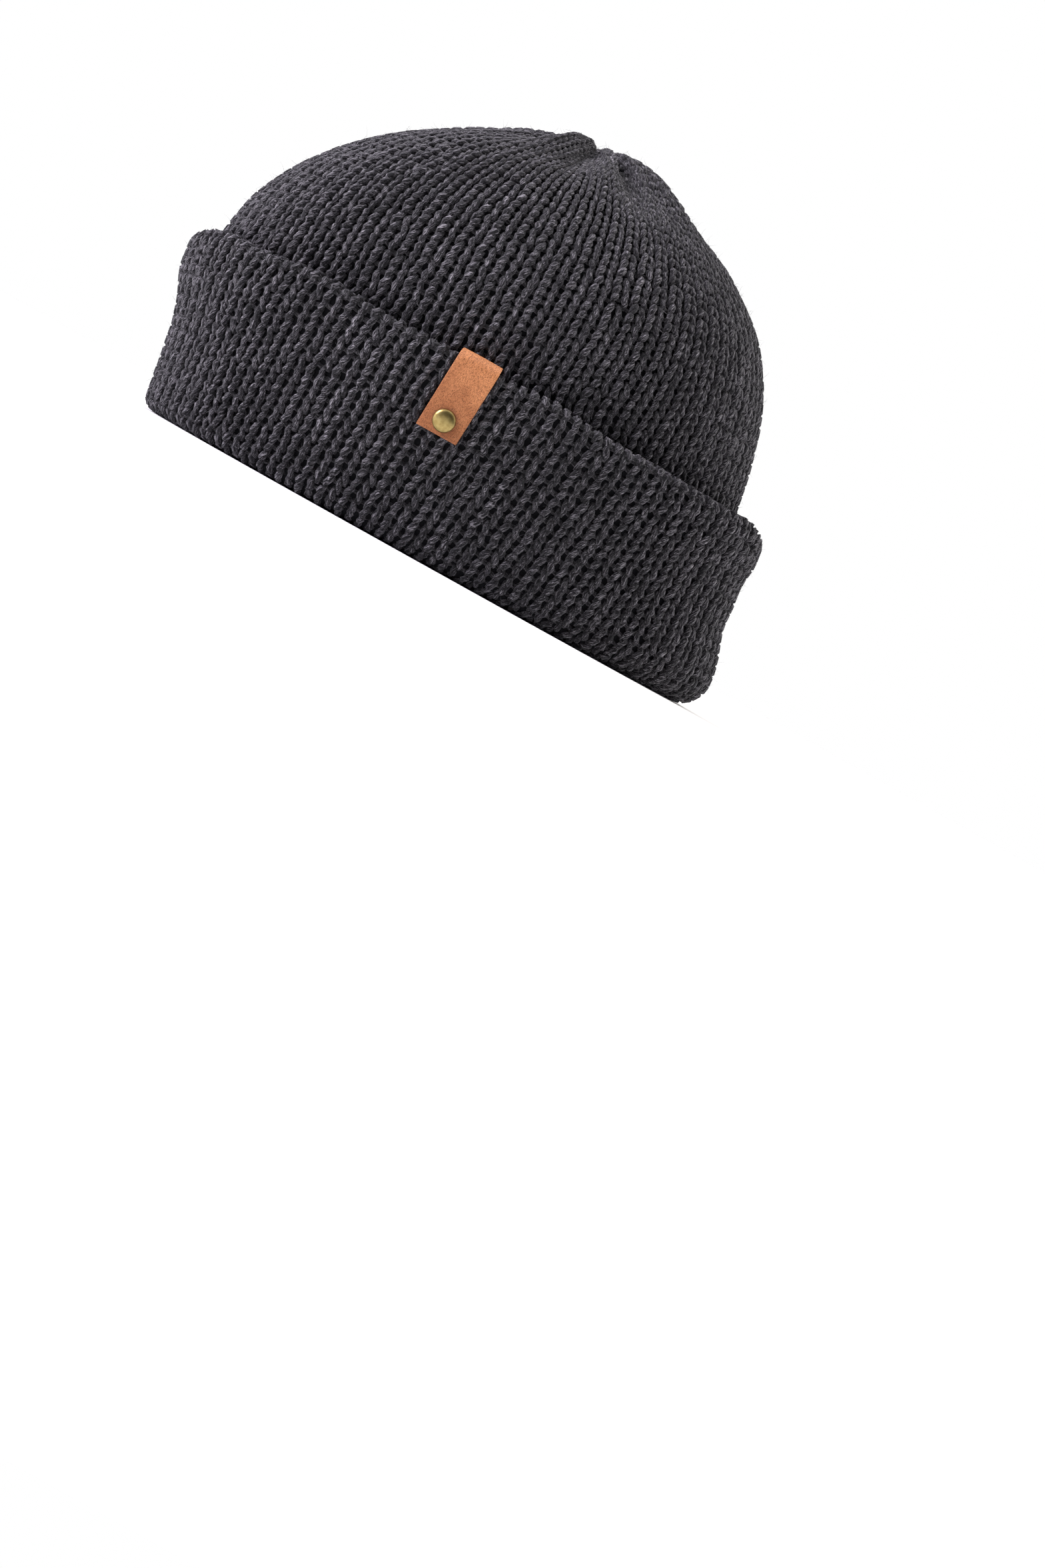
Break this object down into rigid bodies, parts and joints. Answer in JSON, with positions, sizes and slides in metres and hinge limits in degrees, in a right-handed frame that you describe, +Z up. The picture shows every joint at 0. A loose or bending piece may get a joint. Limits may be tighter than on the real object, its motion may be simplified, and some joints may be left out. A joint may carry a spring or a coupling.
{
  "type": "cuffed beanie",
  "caption": "Doubled knit cap with a gathered dome, a turned-up cuff and a folded leather tab held over the cuff's edge by a brass rivet.",
  "frame": {"origin": "centre of the cap's bounding box, on the surface that its rim rests on", "axes": "+Z up through the crown, -Y towards the forehead, +X towards the wearer's left, where the leather tab is"},
  "size_m": [0.1913, 0.2354, 0.1598],
  "materials": {
    "knit": "charcoal heather yarn in plain knit, soft and slightly fuzzy",
    "leather": "tan leather, fine grain, satin",
    "brass": "antique brass, satin"
  },
  "bodies": {
    "root": {"crown": "knit", "cuff": "knit", "leather_tab": "leather", "rivet_cap": "brass", "rivet_base": "brass"}
  },
  "joints": []
}
